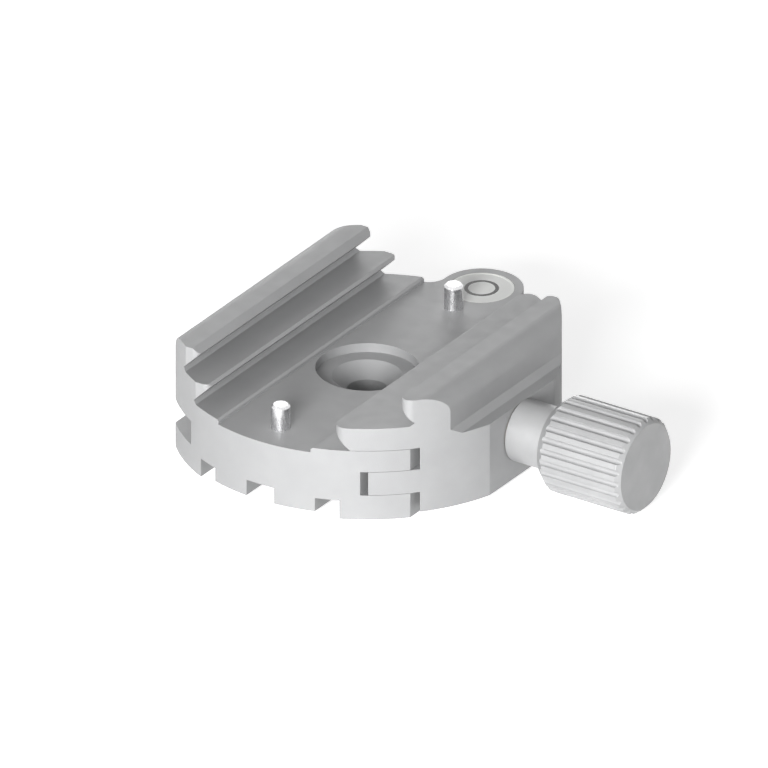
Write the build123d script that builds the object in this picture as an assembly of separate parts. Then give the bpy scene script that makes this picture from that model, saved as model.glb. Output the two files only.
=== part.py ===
from build123d import *

import math
import os

# Screw-knob quick release clamp for dovetail camera plates, in millimetres.
# Origin: the axis of the centre screw hole, where it meets the plane the clamp stands on.
# +X runs along the clamp screw to the knob, +Y along the dovetail to the level, +Z is up.

# Round plan, shared by the base and the moving jaw
DISC_R = 30.0
BASE_FLAT_X = 21.75
JAW_FLAT_X = 28.6
LOBE_REACH = 2.0
LOBE_R = 6.5
LOBE_BLEND_R = 3.0

# Heights above the plane the clamp stands on
RIB_Z = 0.9
SIDE_NOTCH_Z = 3.15
KEYWAY_Z = 3.6
GROOVE_FLOOR_Z = 4.15
GROOVE_ROOF_Z = 8.2
FLOOR_Z = 11.0
SHELF_Z = 11.8
LEDGE_Z = 15.7
TOP_Z = 20.2

# Underside of the base
KEYWAY_HALF = 2.55
SIDE_NOTCH_IN_X = 9.2
SIDE_NOTCH_OUT_X = 12.8

# Channel floor of the base and its step up to the shelves
CHANNEL_HALF = 8.5
CHANNEL_CHAMFER = 0.3

# Side grooves and the tongues above and below them
GROOVE_WALL_X = 15.6
BASE_TONGUE_X = 21.65

# Fixed jaw lips
FIXED_UPPER_NOSE_X = 15.05
FIXED_UPPER_CHAMFER = 1.0
FIXED_LOWER_NOSE_X = 11.8
FIXED_LOWER_CHAMFER = 0.4
DOVETAIL_DEG = 45.0
ROOT_RELIEF = 0.55
JAW_TOP_R = 3.0
FIXED_UPPER_END_INSET = 5.5
FIXED_LOWER_END_INSET = 3.6
FIXED_LIP_CORNER_R = 1.2

# Height above each ledge at which the outline of the lip over it takes over
LIP_OUTLINE_RISE = 0.4

# Moving jaw
SLIDE_GAP = 0.05
FINGER_GAP = 1.05
JAW_BOTTOM_Z = 0.8
JAW_SHOULDER_Z = 13.1
JAW_BACK_X = 25.65
JAW_COVE = 1.0
JAW_UPPER_NOSE_X = 19.5
JAW_UPPER_CHAMFER = 0.3
JAW_UPPER_LAND = 1.0
JAW_LOWER_NOSE_X = 11.15
JAW_LOWER_LAND = 0.7
JAW_UPPER_CORNER_R = 1.45
JAW_LOWER_CORNER_R = 1.8
TONGUE_SLOT_HALF = 4.15

# Centre screw hole
HOLE_R = 3.2
SINK_R = 5.5
SINK_DEG = 45.0
BORE_R = 8.0
BORE_DEPTH = 1.5

# Stop pins in the channel floor
STOP_PIN_R = 1.5
STOP_PIN_INSET = 5.8
STOP_PIN_RISE = 4.0
STOP_PIN_DEPTH = 4.5
STOP_PIN_CHAMFER = 0.35
PRESS_GAP = 0.01

# Clamp screw, on an axis along X
SCREW_Z = 8.28
SCREW_R = 2.5
SCREW_TIP_X = 10.2
SCREW_TIP_CHAMFER = 0.5
SCREW_IN_KNOB = 14.0
SCREW_FIT = 0.06
SCREW_CLEARANCE = 0.2
SCREW_HOLE_END_X = 9.2

# Thread insert in the base
INSERT_R = 3.0
INSERT_START_X = 9.8
INSERT_SETBACK = 0.2

# Clip and washers on the screw
CLIP_R = 3.6
CLIP_T = 0.6
CLIP_GROOVE_R = 2.0
CLIP_MOUTH = 3.2
CLIP_LUG = 1.4
SHIM_R = 3.75
SHIM_T = 0.3
THRUST_R = 4.6
THRUST_T = 1.0
WASHER_GAP = 0.05
POCKET_GAP = 0.15
THRUST_PROUD = 0.1

# Knob
NECK_R = 5.0
NECK_LENGTH = 6.8
KNOB_R = 7.75
KNOB_LENGTH = 15.9
KNOB_FOOT_R = 6.4
KNOB_FOOT_LENGTH = 1.6
KNOB_END_CHAMFER = 0.78
FLUTES = 26
FLUTE_R = 0.5
FLUTE_DEPTH = 0.5

# Grub screw that holds the knob on the clamp screw
GRUB_R = 1.5
GRUB_LENGTH = 2.4
GRUB_FROM_NECK_END = 3.4
GRUB_SEAT = 0.3
GRUB_HEX = 1.5
GRUB_HEX_DEPTH = 1.2

# Guide pins between base and jaw
GUIDE_PIN_R = 1.25
GUIDE_PIN_INSET = 14.5
GUIDE_PIN_DEPTH = 6.0
GUIDE_PIN_REACH = 6.6
GUIDE_PIN_FIT = 0.05
GUIDE_BLIND = 1.8
GUIDE_PIN_CHAMFER = 0.25

# Opening springs between base and jaw
SPRING_Y = 8.6
SPRING_WIRE_R = 0.2
SPRING_MEAN_R = 1.2
SPRING_POCKET_GAP = 0.2
SPRING_BASE_DEPTH = 4.6
SPRING_JAW_DEPTH = 4.0
SPRING_COILS = 9

# Round level in the lobe
VIAL_R = 5.1
VIAL_DEPTH = 5.5
VIAL_GAP = 0.03
CUP_WALL = 0.6
WINDOW_T = 0.7
WINDOW_SINK = 0.08
RING_R = 2.4
RING_WIDTH = 0.6
RING_T = 0.12
BUBBLE_R = 1.75
BUBBLE_T = 0.8
BUBBLE_ROUND = 0.35

# Places worked out from the sizes above
LOBE_Y = DISC_R + LOBE_REACH
STOP_PIN_Y = DISC_R - STOP_PIN_INSET
GUIDE_PIN_Y = DISC_R - GUIDE_PIN_INSET
DOVETAIL_SLOPE = math.tan(math.radians(DOVETAIL_DEG))
JAW_WALL_X = BASE_TONGUE_X + FINGER_GAP
JAW_TONGUE_X = GROOVE_WALL_X + FINGER_GAP
JAW_UNDER_Z = SHELF_Z + SLIDE_GAP
CLIP_POCKET_R = SHIM_R + POCKET_GAP
CLIP_POCKET_DEPTH = CLIP_T + SHIM_T + 2 * WASHER_GAP
CLIP_X = JAW_WALL_X + WASHER_GAP
SHIM_X = CLIP_X + CLIP_T + WASHER_GAP / 2
THRUST_X = JAW_FLAT_X + THRUST_PROUD - THRUST_T
NECK_X = JAW_FLAT_X + THRUST_PROUD + WASHER_GAP
KNOB_X = NECK_X + NECK_LENGTH
KNOB_END_X = KNOB_X + KNOB_LENGTH
SCREW_END_X = NECK_X + SCREW_IN_KNOB
GRUB_X = NECK_X + GRUB_FROM_NECK_END
TONGUE_MID_Z = (GROOVE_FLOOR_Z + GROOVE_ROOF_Z) / 2
CUP_TOP_Z = FLOOR_Z - WINDOW_SINK - WINDOW_T
BIG = 4 * DISC_R


# A bar along Y whose section is drawn in X and Z
def bar_along_y(points):
    section = Plane.XZ * make_face(Polyline(*points, close=True))
    return extrude(section, amount=BIG / 2, both=True)


# A rod along X, from one X to another
def rod_x(radius, x_from, x_to, y=0.0, z=SCREW_Z):
    start = Plane(origin=(x_from, y, z), x_dir=(0, 1, 0), z_dir=(1, 0, 0))
    return extrude(start * Circle(radius), amount=x_to - x_from)


# An upright rod, from one height to another
def rod_z(radius, z_from, z_to, x=0.0, y=0.0):
    return extrude(Pos(x, y, z_from) * Circle(radius), amount=z_to - z_from)


# A slice of a plan outline between two heights
def slab(outline, z_from, z_to):
    return extrude(Pos(0, 0, z_from) * outline, amount=z_to - z_from)


# The part of the disc beyond a lip's nose, with its ends cut square and its nose corners rounded
def lip_outline(nose_x, side, corner_r, end_inset=0.0):
    end_y = DISC_R - end_inset
    cover = Pos(side * (nose_x + BIG / 2), 0) * Rectangle(BIG, 2 * end_y)
    cut = Sketch() + (Circle(DISC_R) & cover)
    corner_x = side * nose_x
    corners = cut.vertices().filter_by_position(Axis.X, corner_x - 0.01, corner_x + 0.01)
    return fillet(corners, corner_r)


# The slanted undercut below a lip's nose: nose, root and the corner on the ledge
def undercut(nose_x, nose_z, ledge_z, relief):
    root_z = ledge_z + relief
    root_x = nose_x + (nose_z - root_z) / DOVETAIL_SLOPE
    return [(nose_x, nose_z), (root_x, root_z), (root_x - relief, ledge_z)]


# The bar cut to its round outline, one level at a time
def cut_to_slabs(bar, slabs):
    levels = [bar & level for level in slabs]
    return levels[0].fuse(*levels[1:]).clean()


def mirrored(points):
    return [(-x, z) for x, z in points]


# Top corner of a jaw, rounded along Y
def round_top(body, x):
    edges = body.edges().filter_by(Axis.Y).filter_by_position(Axis.X, x - 0.01, x + 0.01)
    return fillet(edges.filter_by_position(Axis.Z, TOP_Z - 0.01, TOP_Z + 0.01), JAW_TOP_R)


def base_section():
    under_right = [
        (KEYWAY_HALF, KEYWAY_Z),
        (KEYWAY_HALF, RIB_Z),
        (SIDE_NOTCH_IN_X, RIB_Z),
        (SIDE_NOTCH_IN_X, SIDE_NOTCH_Z),
        (SIDE_NOTCH_OUT_X, SIDE_NOTCH_Z),
        (SIDE_NOTCH_OUT_X, 0),
    ]
    tongue_right = [
        (BASE_TONGUE_X, 0),
        (BASE_TONGUE_X, GROOVE_FLOOR_Z),
        (GROOVE_WALL_X, GROOVE_FLOOR_Z),
        (GROOVE_WALL_X, GROOVE_ROOF_Z),
        (BASE_TONGUE_X, GROOVE_ROOF_Z),
        (BASE_TONGUE_X, SHELF_Z),
    ]
    step_right = [
        (CHANNEL_HALF + CHANNEL_CHAMFER, SHELF_Z),
        (CHANNEL_HALF, SHELF_Z - CHANNEL_CHAMFER),
        (CHANNEL_HALF, FLOOR_Z),
    ]
    lower_nose_z = LEDGE_Z - FIXED_LOWER_CHAMFER
    lower_lip = undercut(FIXED_LOWER_NOSE_X, lower_nose_z, SHELF_Z, ROOT_RELIEF)
    upper_nose_z = TOP_Z - FIXED_UPPER_CHAMFER
    upper_lip = undercut(FIXED_UPPER_NOSE_X, upper_nose_z, LEDGE_Z, ROOT_RELIEF)
    jaw_left = lower_lip[::-1] + [(FIXED_LOWER_NOSE_X + FIXED_LOWER_CHAMFER, LEDGE_Z)]
    jaw_left += upper_lip[::-1] + [(FIXED_UPPER_NOSE_X + FIXED_UPPER_CHAMFER, TOP_Z)]
    flank_left = [
        (BASE_FLAT_X, TOP_Z),
        (BASE_FLAT_X, GROOVE_ROOF_Z),
        (GROOVE_WALL_X, GROOVE_ROOF_Z),
        (GROOVE_WALL_X, GROOVE_FLOOR_Z),
        (BASE_FLAT_X, GROOVE_FLOOR_Z),
        (BASE_FLAT_X, 0),
    ]
    left = step_right[::-1] + jaw_left + flank_left + under_right[::-1]
    return under_right + tongue_right + step_right + mirrored(left)


def base_slabs():
    disc = Circle(DISC_R)
    lobe = Pos(0, LOBE_Y) * Circle(LOBE_R)
    outline = Sketch() + (disc + lobe)
    outline = fillet(outline.vertices(), LOBE_BLEND_R)
    corner_r = FIXED_LIP_CORNER_R
    lower_lip = lip_outline(FIXED_LOWER_NOSE_X, -1, corner_r, FIXED_LOWER_END_INSET)
    upper_lip = lip_outline(FIXED_UPPER_NOSE_X, -1, corner_r, FIXED_UPPER_END_INSET)
    lower_z = SHELF_Z + LIP_OUTLINE_RISE
    upper_z = LEDGE_Z + LIP_OUTLINE_RISE
    return [
        slab(outline, -1, lower_z),
        slab(lower_lip, lower_z, upper_z),
        slab(upper_lip, upper_z, TOP_Z + 1),
    ]


# Counterbored and countersunk hole for the screw that holds the clamp to a head
def centre_hole():
    bore_z = FLOOR_Z - BORE_DEPTH
    sink_depth = (SINK_R - HOLE_R) / math.tan(math.radians(SINK_DEG))
    sink = Pos(0, 0, bore_z - sink_depth / 2) * Cone(HOLE_R, SINK_R, sink_depth)
    return rod_z(HOLE_R, -1, FLOOR_Z) + sink + rod_z(BORE_R, bore_z, TOP_Z)


def make_clamp_body():
    body = bar_along_y(base_section())
    body = round_top(body, -BASE_FLAT_X)
    body = cut_to_slabs(body, base_slabs())
    body -= centre_hole()
    for side in (-1, 1):
        y = side * STOP_PIN_Y
        body -= rod_z(STOP_PIN_R + PRESS_GAP, FLOOR_Z - STOP_PIN_DEPTH, TOP_Z, y=y)
        y = side * GUIDE_PIN_Y
        hole_x = GROOVE_WALL_X - GUIDE_PIN_DEPTH
        body -= rod_x(GUIDE_PIN_R + PRESS_GAP, hole_x, GROOVE_WALL_X + 1, y, TONGUE_MID_Z)
        y = side * SPRING_Y
        hole_x = GROOVE_WALL_X - SPRING_BASE_DEPTH
        body -= rod_x(spring_pocket_r(), hole_x, GROOVE_WALL_X + 1, y, TONGUE_MID_Z)
    body -= rod_x(SCREW_R + SCREW_CLEARANCE, SCREW_HOLE_END_X, BIG)
    body -= rod_x(INSERT_R + PRESS_GAP, INSERT_START_X, GROOVE_WALL_X + 1)
    body -= rod_z(VIAL_R, FLOOR_Z - VIAL_DEPTH, TOP_Z, y=LOBE_Y)
    return body


def jaw_section():
    upper_nose_z = TOP_Z - JAW_UPPER_CHAMFER - JAW_UPPER_LAND
    lower_nose_z = LEDGE_Z - JAW_LOWER_LAND
    lower_lip = undercut(JAW_LOWER_NOSE_X, lower_nose_z, JAW_UNDER_Z, 0)[:2]
    upper_lip = undercut(JAW_UPPER_NOSE_X, upper_nose_z, LEDGE_Z, ROOT_RELIEF)
    return [
        *lower_lip,
        (JAW_WALL_X, JAW_UNDER_Z),
        (JAW_WALL_X, GROOVE_ROOF_Z - SLIDE_GAP),
        (JAW_TONGUE_X, GROOVE_ROOF_Z - SLIDE_GAP),
        (JAW_TONGUE_X, GROOVE_FLOOR_Z + SLIDE_GAP),
        (JAW_WALL_X, GROOVE_FLOOR_Z + SLIDE_GAP),
        (JAW_WALL_X, JAW_BOTTOM_Z),
        (JAW_FLAT_X, JAW_BOTTOM_Z),
        (JAW_FLAT_X, JAW_SHOULDER_Z),
        (JAW_BACK_X + JAW_COVE, JAW_SHOULDER_Z),
        (JAW_BACK_X, JAW_SHOULDER_Z + JAW_COVE),
        (JAW_BACK_X, TOP_Z),
        (JAW_UPPER_NOSE_X + JAW_UPPER_CHAMFER, TOP_Z),
        (JAW_UPPER_NOSE_X, TOP_Z - JAW_UPPER_CHAMFER),
        *upper_lip,
        (JAW_LOWER_NOSE_X, LEDGE_Z),
    ]


def jaw_slabs():
    lower_lip = lip_outline(JAW_LOWER_NOSE_X, 1, JAW_LOWER_CORNER_R)
    upper_lip = lip_outline(JAW_UPPER_NOSE_X, 1, JAW_UPPER_CORNER_R)
    disc = Rot(0, 0, 180) * Circle(DISC_R)
    lower_z = JAW_UNDER_Z + LIP_OUTLINE_RISE
    upper_z = LEDGE_Z + LIP_OUTLINE_RISE
    return [
        slab(disc, -1, lower_z),
        slab(lower_lip, lower_z, upper_z),
        slab(upper_lip, upper_z, TOP_Z + 1),
    ]


def make_moving_jaw():
    jaw = bar_along_y(jaw_section())
    jaw = round_top(jaw, JAW_BACK_X)
    jaw = cut_to_slabs(jaw, jaw_slabs())
    slot_length = JAW_WALL_X - JAW_TONGUE_X
    slot_height = GROOVE_ROOF_Z - GROOVE_FLOOR_Z
    slot = Box(slot_length, 2 * TONGUE_SLOT_HALF, slot_height)
    jaw -= Pos(JAW_TONGUE_X + slot_length / 2, 0, TONGUE_MID_Z) * slot
    jaw -= rod_x(SCREW_R + SCREW_FIT, JAW_WALL_X - 1, JAW_FLAT_X + 1)
    jaw -= rod_x(CLIP_POCKET_R, JAW_WALL_X - 1, JAW_WALL_X + CLIP_POCKET_DEPTH)
    jaw -= rod_x(THRUST_R + POCKET_GAP, THRUST_X, JAW_FLAT_X + 1)
    for side in (-1, 1):
        y = side * GUIDE_PIN_Y
        end_x = GROOVE_WALL_X + GUIDE_PIN_REACH + GUIDE_BLIND
        jaw -= rod_x(GUIDE_PIN_R + GUIDE_PIN_FIT, JAW_TONGUE_X - 1, end_x, y, TONGUE_MID_Z)
        y = side * SPRING_Y
        end_x = JAW_TONGUE_X + SPRING_JAW_DEPTH
        jaw -= rod_x(spring_pocket_r(), JAW_TONGUE_X - 1, end_x, y, TONGUE_MID_Z)
    return jaw


def make_stop_pin(side):
    y = side * STOP_PIN_Y
    pin = rod_z(STOP_PIN_R, FLOOR_Z - STOP_PIN_DEPTH, FLOOR_Z + STOP_PIN_RISE, y=y)
    top = pin.edges().filter_by(GeomType.CIRCLE).sort_by(Axis.Z)[-1]
    return chamfer(top, STOP_PIN_CHAMFER)


def make_guide_pin(side):
    start_x = GROOVE_WALL_X - GUIDE_PIN_DEPTH
    end_x = GROOVE_WALL_X + GUIDE_PIN_REACH
    pin = rod_x(GUIDE_PIN_R, start_x, end_x, side * GUIDE_PIN_Y, TONGUE_MID_Z)
    end = pin.edges().filter_by(GeomType.CIRCLE).sort_by(Axis.X)[-1]
    return chamfer(end, GUIDE_PIN_CHAMFER)


def spring_pocket_r():
    return SPRING_MEAN_R + SPRING_WIRE_R + SPRING_POCKET_GAP


def make_spring(side):
    start_x = GROOVE_WALL_X - SPRING_BASE_DEPTH + SPRING_WIRE_R
    end_x = JAW_TONGUE_X + SPRING_JAW_DEPTH - SPRING_WIRE_R
    length = end_x - start_x
    path = Helix(length / SPRING_COILS, length, SPRING_MEAN_R)
    section = Plane(origin=path @ 0, z_dir=path % 0) * Circle(SPRING_WIRE_R)
    coil = sweep(section, path=path, is_frenet=True)
    return Pos(start_x, side * SPRING_Y, TONGUE_MID_Z) * Rot(0, 90, 0) * coil


def make_thread_insert():
    end_x = GROOVE_WALL_X - INSERT_SETBACK
    sleeve = rod_x(INSERT_R, INSERT_START_X, end_x)
    return sleeve - rod_x(SCREW_R + SCREW_FIT, INSERT_START_X, end_x)


def make_clamp_screw():
    screw = rod_x(SCREW_R, SCREW_TIP_X, SCREW_END_X)
    tip = screw.edges().filter_by(GeomType.CIRCLE).sort_by(Axis.X)[0]
    screw = chamfer(tip, SCREW_TIP_CHAMFER)
    groove_start = CLIP_X - WASHER_GAP / 2
    groove_end = CLIP_X + CLIP_T + WASHER_GAP / 2
    groove = rod_x(SCREW_R + 1, groove_start, groove_end)
    groove -= rod_x(CLIP_GROOVE_R, groove_start, groove_end)
    screw -= groove
    screw -= rod_z(GRUB_R + 1, 0, SCREW_Z - SCREW_R + GRUB_SEAT, x=GRUB_X)
    return screw


# Open clip with a mouth for the screw and three lugs that reach into its groove
def make_retaining_clip():
    lug_r = CLIP_GROOVE_R + WASHER_GAP
    free_r = (lug_r + CLIP_R) / 2
    plate = Circle(CLIP_R) - Circle(free_r)
    plate -= Pos(0, -CLIP_R) * Rectangle(CLIP_MOUTH, 2 * CLIP_R)
    for turn in (0, 90, 180):
        reach = CLIP_R - lug_r
        lug = Pos(lug_r + reach / 2, 0) * Rectangle(reach, CLIP_LUG)
        plate += Rot(0, 0, turn) * (lug & Circle(CLIP_R - WASHER_GAP))
    plate -= Circle(lug_r)
    start = Plane(origin=(CLIP_X, 0, SCREW_Z), x_dir=(0, 1, 0), z_dir=(1, 0, 0))
    return extrude(start * plate, amount=CLIP_T)


def make_washer(radius, x_from, thickness):
    disc = rod_x(radius, x_from, x_from + thickness)
    return disc - rod_x(SCREW_R + SCREW_FIT, x_from, x_from + thickness)


def make_knob():
    foot_x = KNOB_X + KNOB_FOOT_LENGTH
    outline = [
        (NECK_X, 0),
        (NECK_X, NECK_R),
        (KNOB_X, NECK_R),
        (KNOB_X, KNOB_FOOT_R),
        (foot_x, KNOB_R),
        (KNOB_END_X - KNOB_END_CHAMFER, KNOB_R),
        (KNOB_END_X, KNOB_R - KNOB_END_CHAMFER),
        (KNOB_END_X, 0),
    ]
    section = Plane.XZ * make_face(Polyline(*outline, close=True))
    knob = Pos(0, 0, SCREW_Z) * revolve(section, Axis.X)
    flute_centre = KNOB_R - FLUTE_DEPTH + FLUTE_R
    for i in range(FLUTES):
        turn = 2 * math.pi * (i + 0.5) / FLUTES
        y = flute_centre * math.sin(turn)
        z = SCREW_Z + flute_centre * math.cos(turn)
        knob -= rod_x(FLUTE_R, KNOB_X - 1, KNOB_END_X + 1, y, z)
    knob -= rod_x(SCREW_R + PRESS_GAP, NECK_X, SCREW_END_X + PRESS_GAP)
    knob -= rod_z(GRUB_R + PRESS_GAP, SCREW_Z - NECK_R - 1, SCREW_Z, x=GRUB_X)
    return knob


def make_grub_screw():
    top_z = SCREW_Z - SCREW_R + GRUB_SEAT - PRESS_GAP
    grub = rod_z(GRUB_R, top_z - GRUB_LENGTH, top_z, x=GRUB_X)
    socket = RegularPolygon(GRUB_HEX / 2, 6, major_radius=False)
    return grub - extrude(Pos(GRUB_X, 0, top_z - GRUB_LENGTH) * socket, amount=GRUB_HEX_DEPTH)


def make_level_cup():
    cup_z = FLOOR_Z - VIAL_DEPTH
    cup = rod_z(VIAL_R - VIAL_GAP, cup_z, CUP_TOP_Z, y=LOBE_Y)
    return cup - rod_z(VIAL_R - CUP_WALL, cup_z + CUP_WALL, CUP_TOP_Z, y=LOBE_Y)


def make_level_window():
    top_z = CUP_TOP_Z + WINDOW_T
    window = rod_z(VIAL_R - VIAL_GAP, CUP_TOP_Z, top_z, y=LOBE_Y)
    return window - level_ring_blank()


def level_ring_blank():
    top_z = CUP_TOP_Z + WINDOW_T
    ring = rod_z(RING_R + RING_WIDTH / 2, top_z - RING_T, top_z, y=LOBE_Y)
    return ring - rod_z(RING_R - RING_WIDTH / 2, top_z - RING_T, top_z, y=LOBE_Y)


def make_level_bubble():
    bubble = rod_z(BUBBLE_R, CUP_TOP_Z - BUBBLE_T, CUP_TOP_Z, y=LOBE_Y)
    return fillet(bubble.edges().filter_by(GeomType.CIRCLE), BUBBLE_ROUND)


def make_level_liquid():
    liquid_z = FLOOR_Z - VIAL_DEPTH + CUP_WALL
    liquid = rod_z(VIAL_R - CUP_WALL, liquid_z, CUP_TOP_Z, y=LOBE_Y)
    return liquid - make_level_bubble()


parts = {
    "clamp_body": make_clamp_body(),
    "moving_jaw": make_moving_jaw(),
    "front_stop_pin": make_stop_pin(-1),
    "rear_stop_pin": make_stop_pin(1),
    "front_guide_pin": make_guide_pin(-1),
    "rear_guide_pin": make_guide_pin(1),
    "front_spring": make_spring(-1),
    "rear_spring": make_spring(1),
    "thread_insert": make_thread_insert(),
    "clamp_screw": make_clamp_screw(),
    "retaining_clip": make_retaining_clip(),
    "clip_washer": make_washer(SHIM_R, SHIM_X, SHIM_T),
    "thrust_washer": make_washer(THRUST_R, THRUST_X, THRUST_T),
    "knob": make_knob(),
    "knob_grub_screw": make_grub_screw(),
    "level_cup": make_level_cup(),
    "level_window": make_level_window(),
    "level_ring": level_ring_blank(),
    "level_liquid": make_level_liquid(),
    "level_bubble": make_level_bubble(),
}

os.makedirs("parts", exist_ok=True)
for name, part in parts.items():
    export_step(part, f"parts/{name}.step")
    print(name, round(part.volume, 2))
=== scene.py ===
# %% [markdown]
# A quick release clamp sits on a tripod head and grips a camera's dovetail plate between two jaws.
# Its shapes come ready as a fixed frame, in metres, so this lesson is about its finishes, its level
# and its light.

import math

import bpy
from mathutils import Matrix, Vector


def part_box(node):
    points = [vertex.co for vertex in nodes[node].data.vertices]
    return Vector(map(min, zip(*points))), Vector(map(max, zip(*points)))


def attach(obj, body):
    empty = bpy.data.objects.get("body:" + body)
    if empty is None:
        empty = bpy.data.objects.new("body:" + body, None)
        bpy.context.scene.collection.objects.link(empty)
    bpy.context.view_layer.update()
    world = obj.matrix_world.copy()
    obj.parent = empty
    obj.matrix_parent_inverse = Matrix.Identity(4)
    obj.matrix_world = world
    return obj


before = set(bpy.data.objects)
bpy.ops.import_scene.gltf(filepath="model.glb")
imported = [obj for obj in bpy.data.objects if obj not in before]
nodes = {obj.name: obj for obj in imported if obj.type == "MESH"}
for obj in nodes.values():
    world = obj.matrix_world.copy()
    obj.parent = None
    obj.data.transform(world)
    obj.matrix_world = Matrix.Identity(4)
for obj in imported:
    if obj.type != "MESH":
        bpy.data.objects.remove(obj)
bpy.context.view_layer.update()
MM = 0.001
print("nodes", len(nodes))

# %% [markdown]
# The clamp is drawn with parallel lines that don't meet, as in a technical picture, so the camera
# is orthographic. Its own right, up and back directions follow from how far round and how high it
# stands. The clamp's centre hole is a little left of the picture's middle and a little above it.
# The camera could be aimed by a constraint, but a matrix of three directions says it exactly.

# %% Camera
PICTURE_PIXELS = 768
PIXELS_PER_MM = 6.49
HOLE_PIXEL = (367.2, 367.0)
TURN = math.radians(33.44)
RISE = math.radians(27.26)
CHANNEL_FLOOR = 11.0 * MM
CAMERA_DISTANCE = 0.5

right = Vector((math.cos(TURN), math.sin(TURN), 0))
back = Vector((math.sin(TURN) * math.cos(RISE), -math.cos(TURN) * math.cos(RISE), math.sin(RISE)))
up = back.cross(right)
pixel = MM / PIXELS_PER_MM
middle = Vector((0, 0, CHANNEL_FLOOR))
middle += right * (PICTURE_PIXELS / 2 - HOLE_PIXEL[0]) * pixel
middle -= up * (PICTURE_PIXELS / 2 - HOLE_PIXEL[1]) * pixel

camera_data = bpy.data.cameras.new("camera")
camera_data.type = "ORTHO"
camera_data.ortho_scale = PICTURE_PIXELS * pixel
camera_data.clip_end = 5
camera = bpy.data.objects.new("camera", camera_data)
bpy.context.scene.collection.objects.link(camera)
turned = Matrix((right, up, back)).transposed().to_4x4()
camera.matrix_world = Matrix.Translation(middle + back * CAMERA_DISTANCE) @ turned
bpy.context.scene.camera = camera
print("view width in mm", round(camera_data.ortho_scale / MM, 1))

# %% [markdown]
# Every finish starts from the same few nodes: a shader with its plain numbers set on its own
# sockets, and a noise that reads Object coordinates, so the grain stays with the metal when a
# piece moves. A picture of real metal could be wrapped on instead, but noise has no seams.

# %% Helpers for finishes
NOISE_LOW = 0.3
NOISE_HIGH = 0.7


def new_finish(name, colour, metal, rough):
    finish = bpy.data.materials.new(name)
    finish.use_nodes = True
    tree = finish.node_tree
    shader = tree.nodes["Principled BSDF"]
    shader.inputs["Base Color"].default_value = (*colour, 1)
    shader.inputs["Metallic"].default_value = metal
    shader.inputs["Roughness"].default_value = rough
    return finish, tree, shader


def grain(tree, scale, stretch=(1, 1, 1), detail=4):
    place = tree.nodes.new("ShaderNodeTexCoord")
    turn = tree.nodes.new("ShaderNodeMapping")
    noise = tree.nodes.new("ShaderNodeTexNoise")
    turn.inputs["Scale"].default_value = stretch
    noise.inputs["Scale"].default_value = scale
    noise.inputs["Detail"].default_value = detail
    tree.links.new(place.outputs["Object"], turn.inputs["Vector"])
    tree.links.new(turn.outputs["Vector"], noise.inputs["Vector"])
    return noise.outputs["Fac"]


def spread(tree, value, low, high):
    spreader = tree.nodes.new("ShaderNodeMapRange")
    spreader.inputs["From Min"].default_value = NOISE_LOW
    spreader.inputs["From Max"].default_value = NOISE_HIGH
    spreader.inputs["To Min"].default_value = low
    spreader.inputs["To Max"].default_value = high
    tree.links.new(value, spreader.inputs["Value"])
    return spreader.outputs["Result"]


def shade_between(tree, value, dark, pale):
    mix = tree.nodes.new("ShaderNodeMix")
    mix.data_type = "RGBA"
    mix.inputs["A"].default_value = (*dark, 1)
    mix.inputs["B"].default_value = (*pale, 1)
    tree.links.new(value, mix.inputs["Factor"])
    return mix.outputs["Result"]


def roughen(tree, shader, height, depth, strength, edge=0.0):
    bump = tree.nodes.new("ShaderNodeBump")
    bump.inputs["Distance"].default_value = depth
    bump.inputs["Strength"].default_value = strength
    tree.links.new(height, bump.inputs["Height"])
    if edge:
        soft_edge = tree.nodes.new("ShaderNodeBevel")
        soft_edge.samples = 6
        soft_edge.inputs["Radius"].default_value = edge
        tree.links.new(soft_edge.outputs["Normal"], bump.inputs["Normal"])
    tree.links.new(bump.outputs["Normal"], shader.inputs["Normal"])


def dress(names, finish):
    for name in names:
        slots = nodes[name].data.materials
        slots.clear()
        slots.append(finish)
    print(finish.name, "on", ", ".join(names))

# %% [markdown]
# The base and the jaw are aluminium, blasted with fine beads and then anodised grey. Blasting
# leaves a fine even grain, and the dye is a little uneven over a few millimetres. The broken
# edges catch light, so the shading is rounded over a tenth of a millimetre there.

# %% Grey anodised aluminium
def anodised(name, dark, pale, rough):
    finish, tree, shader = new_finish(name, pale, 0.2, rough)
    cloud = spread(tree, grain(tree, 160), 0, 1)
    tree.links.new(shade_between(tree, cloud, dark, pale), shader.inputs["Base Color"])
    dull = spread(tree, grain(tree, 500), rough - 0.04, rough + 0.05)
    tree.links.new(dull, shader.inputs["Roughness"])
    roughen(tree, shader, grain(tree, 6000, detail=2), 0.00004, 0.5, edge=0.12 * MM)
    return finish


body_finish = anodised("grey_anodised", (0.338, 0.34, 0.344), (0.36, 0.362, 0.366), 0.55)
dress(["clamp_body", "moving_jaw"], body_finish)

# %% [markdown]
# The knob is turned on a lathe from the same metal. Turning leaves very fine rings round its
# axis, so its grain is stretched round the axis by squeezing it along X.

# %% Turned knob
knob_finish, knob_tree, knob_shader = new_finish("knob_anodised", (0.4, 0.402, 0.405), 0.25, 0.4)
rings = grain(knob_tree, 300, stretch=(30, 1, 1))
knob_cloud = spread(knob_tree, grain(knob_tree, 200), 0, 1)
knob_shade = shade_between(knob_tree, knob_cloud, (0.35, 0.352, 0.356), (0.41, 0.412, 0.415))
knob_tree.links.new(knob_shade, knob_shader.inputs["Base Color"])
knob_tree.links.new(spread(knob_tree, rings, 0.34, 0.46), knob_shader.inputs["Roughness"])
roughen(knob_tree, knob_shader, rings, 0.00001, 0.3, edge=0.1 * MM)
dress(["knob"], knob_finish)

# %% [markdown]
# Pins, screw and clips are bright steel, ground or rolled, with fine streaks. The thrust washer is
# brass, which slides well against steel and aluminium.

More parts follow.
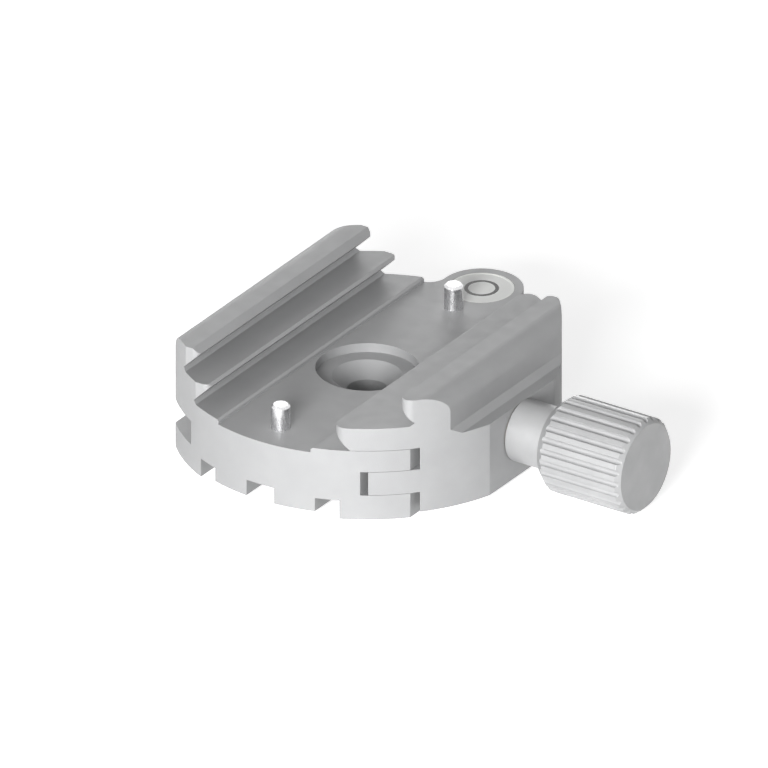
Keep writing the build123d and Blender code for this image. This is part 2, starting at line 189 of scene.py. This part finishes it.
# %% Steel and brass
def streaked(name, dark, pale, rough, stretch):
    finish, tree, shader = new_finish(name, pale, 1.0, rough)
    streaks = grain(tree, 700, stretch=stretch)
    shade = shade_between(tree, spread(tree, streaks, 0, 1), dark, pale)
    tree.links.new(shade, shader.inputs["Base Color"])
    tree.links.new(spread(tree, streaks, rough - 0.06, rough + 0.08), shader.inputs["Roughness"])
    roughen(tree, shader, streaks, 0.00001, 0.2, edge=0.06 * MM)
    return finish


upright_steel = streaked("ground_steel", (0.72, 0.72, 0.73), (0.86, 0.86, 0.87), 0.28, (6, 6, 1))
lying_steel = streaked("turned_steel", (0.58, 0.58, 0.59), (0.74, 0.74, 0.75), 0.32, (1, 6, 6))
spring_steel = streaked("spring_steel", (0.4, 0.4, 0.41), (0.55, 0.55, 0.56), 0.36, (2, 2, 2))
brass = streaked("thrust_brass", (0.62, 0.44, 0.18), (0.76, 0.58, 0.28), 0.34, (6, 1, 1))
dress(["front_stop_pin", "rear_stop_pin"], upright_steel)
dress(["front_guide_pin", "rear_guide_pin", "clamp_screw", "thread_insert"], lying_steel)
dress(["knob_grub_screw", "clip_washer"], lying_steel)
dress(["front_spring", "rear_spring", "retaining_clip"], spring_steel)
dress(["thrust_washer"], brass)

# %% [markdown]
# The level is a white cup of liquid with a bubble under a clear window, and a black ring on the
# window for the bubble to sit in. The cup's white is a little milky, as moulded plastic is.

# %% Plastic of the level
cup_finish, cup_tree, cup_shader = new_finish("white_plastic", (0.82, 0.83, 0.8), 0.0, 0.35)
cup_cloud = spread(cup_tree, grain(cup_tree, 900), 0, 1)
cup_shade = shade_between(cup_tree, cup_cloud, (0.78, 0.79, 0.76), (0.85, 0.86, 0.83))
cup_tree.links.new(cup_shade, cup_shader.inputs["Base Color"])
dress(["level_cup"], cup_finish)

ring_finish, ring_tree, ring_shader = new_finish("black_mark", (0.012, 0.012, 0.012), 0.0, 0.5)
ring_grain = spread(ring_tree, grain(ring_tree, 4000), 0.42, 0.6)
ring_tree.links.new(ring_grain, ring_shader.inputs["Roughness"])
dress(["level_ring"], ring_finish)

# %% [markdown]
# The window is moulded in a milky pale plastic that hides the cup below it, which is why the disc
# looks nearly white. The liquid and bubble under it are clear. A slow noise varies the haze.

# %% Clear pieces of the level
def clear(name, colour, bends_light, rough):
    finish, tree, shader = new_finish(name, colour, 0.0, rough)
    shader.inputs["Transmission Weight"].default_value = 1.0
    shader.inputs["IOR"].default_value = bends_light
    haze = spread(tree, grain(tree, 600), rough, rough + 0.05)
    tree.links.new(haze, shader.inputs["Roughness"])
    return finish


window_finish = clear("clear_window", (0.95, 0.96, 0.94), 1.45, 0.12)
window_finish.node_tree.nodes["Principled BSDF"].inputs["Transmission Weight"].default_value = 0.04
dress(["level_window"], window_finish)
dress(["level_liquid"], clear("liquid", (0.9, 0.97, 0.86), 1.25, 0.02))
dress(["level_bubble"], clear("bubble", (0.99, 1.0, 0.99), 1.05, 0.02))

# %% [markdown]
# A low lip runs round the edge of the level's window, so that the gap round it doesn't show. It is
# a short tube, inset from a disc and bevelled. It could be part of the cup, but as a separate ring
# it can have its own rounded edge that catches the light.

# %% Lip of the level
window_low, window_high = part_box("level_window")
window_centre = (window_low + window_high) / 2
window_radius = (window_high.x - window_low.x) / 2
TRIM_WIDTH = 0.35 * MM
TRIM_HEIGHT = 0.07 * MM

bpy.ops.object.select_all(action="DESELECT")
bpy.ops.mesh.primitive_circle_add(
    vertices=96,
    radius=window_radius,
    fill_type="NGON",
    location=(window_centre.x, window_centre.y, window_high.z),
)
trim = bpy.context.object
trim.name = "level_lip"
bpy.ops.object.mode_set(mode="EDIT")
bpy.ops.mesh.select_all(action="SELECT")
bpy.ops.mesh.inset(thickness=TRIM_WIDTH, depth=0)
bpy.ops.mesh.delete(type="FACE")
bpy.ops.mesh.select_all(action="SELECT")
bpy.ops.mesh.extrude_region_move(TRANSFORM_OT_translate={"value": (0, 0, TRIM_HEIGHT)})
bpy.ops.mesh.select_all(action="SELECT")
bpy.ops.mesh.normals_make_consistent(inside=False)
bpy.ops.object.mode_set(mode="OBJECT")
bpy.ops.object.transform_apply(location=True, rotation=True, scale=True)
soften = trim.modifiers.new("soften", "BEVEL")
soften.width = 0.02 * MM
soften.segments = 2
bpy.ops.object.modifier_apply(modifier="soften")
trim.data.materials.append(cup_finish)
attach(trim, "base")
print("lip faces", len(trim.data.polygons))

# %% [markdown]
# A broad soft lamp stands on the viewer's side, a little lower than the camera, so that the round
# front is brighter than the top. A smaller one fills from the left, and one behind keeps the back
# from going dark. The world is plain, and shows white to the camera and in reflections, so the
# background needs no more light on the clamp.

# %% Lamps and world
LAMP_DISTANCE = 0.6


def lamp(name, direction, power, size):
    light = bpy.data.lights.new(name, "AREA")
    light.energy = power
    light.size = size
    holder = bpy.data.objects.new(name, light)
    bpy.context.scene.collection.objects.link(holder)
    holder.location = middle + direction.normalized() * LAMP_DISTANCE
    holder.rotation_euler = direction.to_track_quat("Z", "Y").to_euler()


# 1 where the camera, a reflection or a clear piece sees the surface, and 0 for the light it gives
def seen(tree):
    path = tree.nodes.new("ShaderNodeLightPath")
    rays = path.outputs["Is Camera Ray"]
    for kind in ("Is Glossy Ray", "Is Transmission Ray"):
        either = tree.nodes.new("ShaderNodeMath")
        either.operation = "MAXIMUM"
        tree.links.new(rays, either.inputs[0])
        tree.links.new(path.outputs[kind], either.inputs[1])
        rays = either.outputs[0]
    return rays


lamp("key_lamp", back - up * 0.2 - right * 0.28, 5.4, 0.24)
lamp("fill_lamp", back - right * 1.2 + up * 0.4, 0.4, 0.4)
lamp("rear_lamp", up * 0.75 - back, 0.8, 0.24)

WORLD_LIGHT = 0.2
world = bpy.data.worlds.new("plain_world")
world.use_nodes = True
bpy.context.scene.world = world
sky = world.node_tree
background = sky.nodes["Background"]
sky.links.new(spread(sky, seen(sky), WORLD_LIGHT, 1.0), background.inputs["Strength"])
background.inputs["Color"].default_value = (1, 1, 1, 1)

# %% [markdown]
# The floor is a wide pale sheet that takes the clamp's shadow. The lamps are low, so it would look
# grey: it glows a little to the camera, in reflections and through clear pieces, and lights nothing.

# %% Floor
FLOOR_SIZE = 4.0
bpy.ops.object.select_all(action="DESELECT")
bpy.ops.mesh.primitive_plane_add(size=FLOOR_SIZE, location=(0, 0, 0))
floor = bpy.context.object
floor.name = "floor"
floor_finish, floor_tree, floor_shader = new_finish("pale_floor", (0.92, 0.92, 0.92), 0.0, 0.9)
floor.data.materials.append(floor_finish)
FLOOR_GLOW = 0.62
floor_shader.inputs["Emission Color"].default_value = (1, 1, 1, 1)
floor_glow = spread(floor_tree, seen(floor_tree), 0, FLOOR_GLOW)
floor_tree.links.new(floor_glow, floor_shader.inputs["Emission Strength"])
bpy.context.scene.view_settings.view_transform = "Standard"
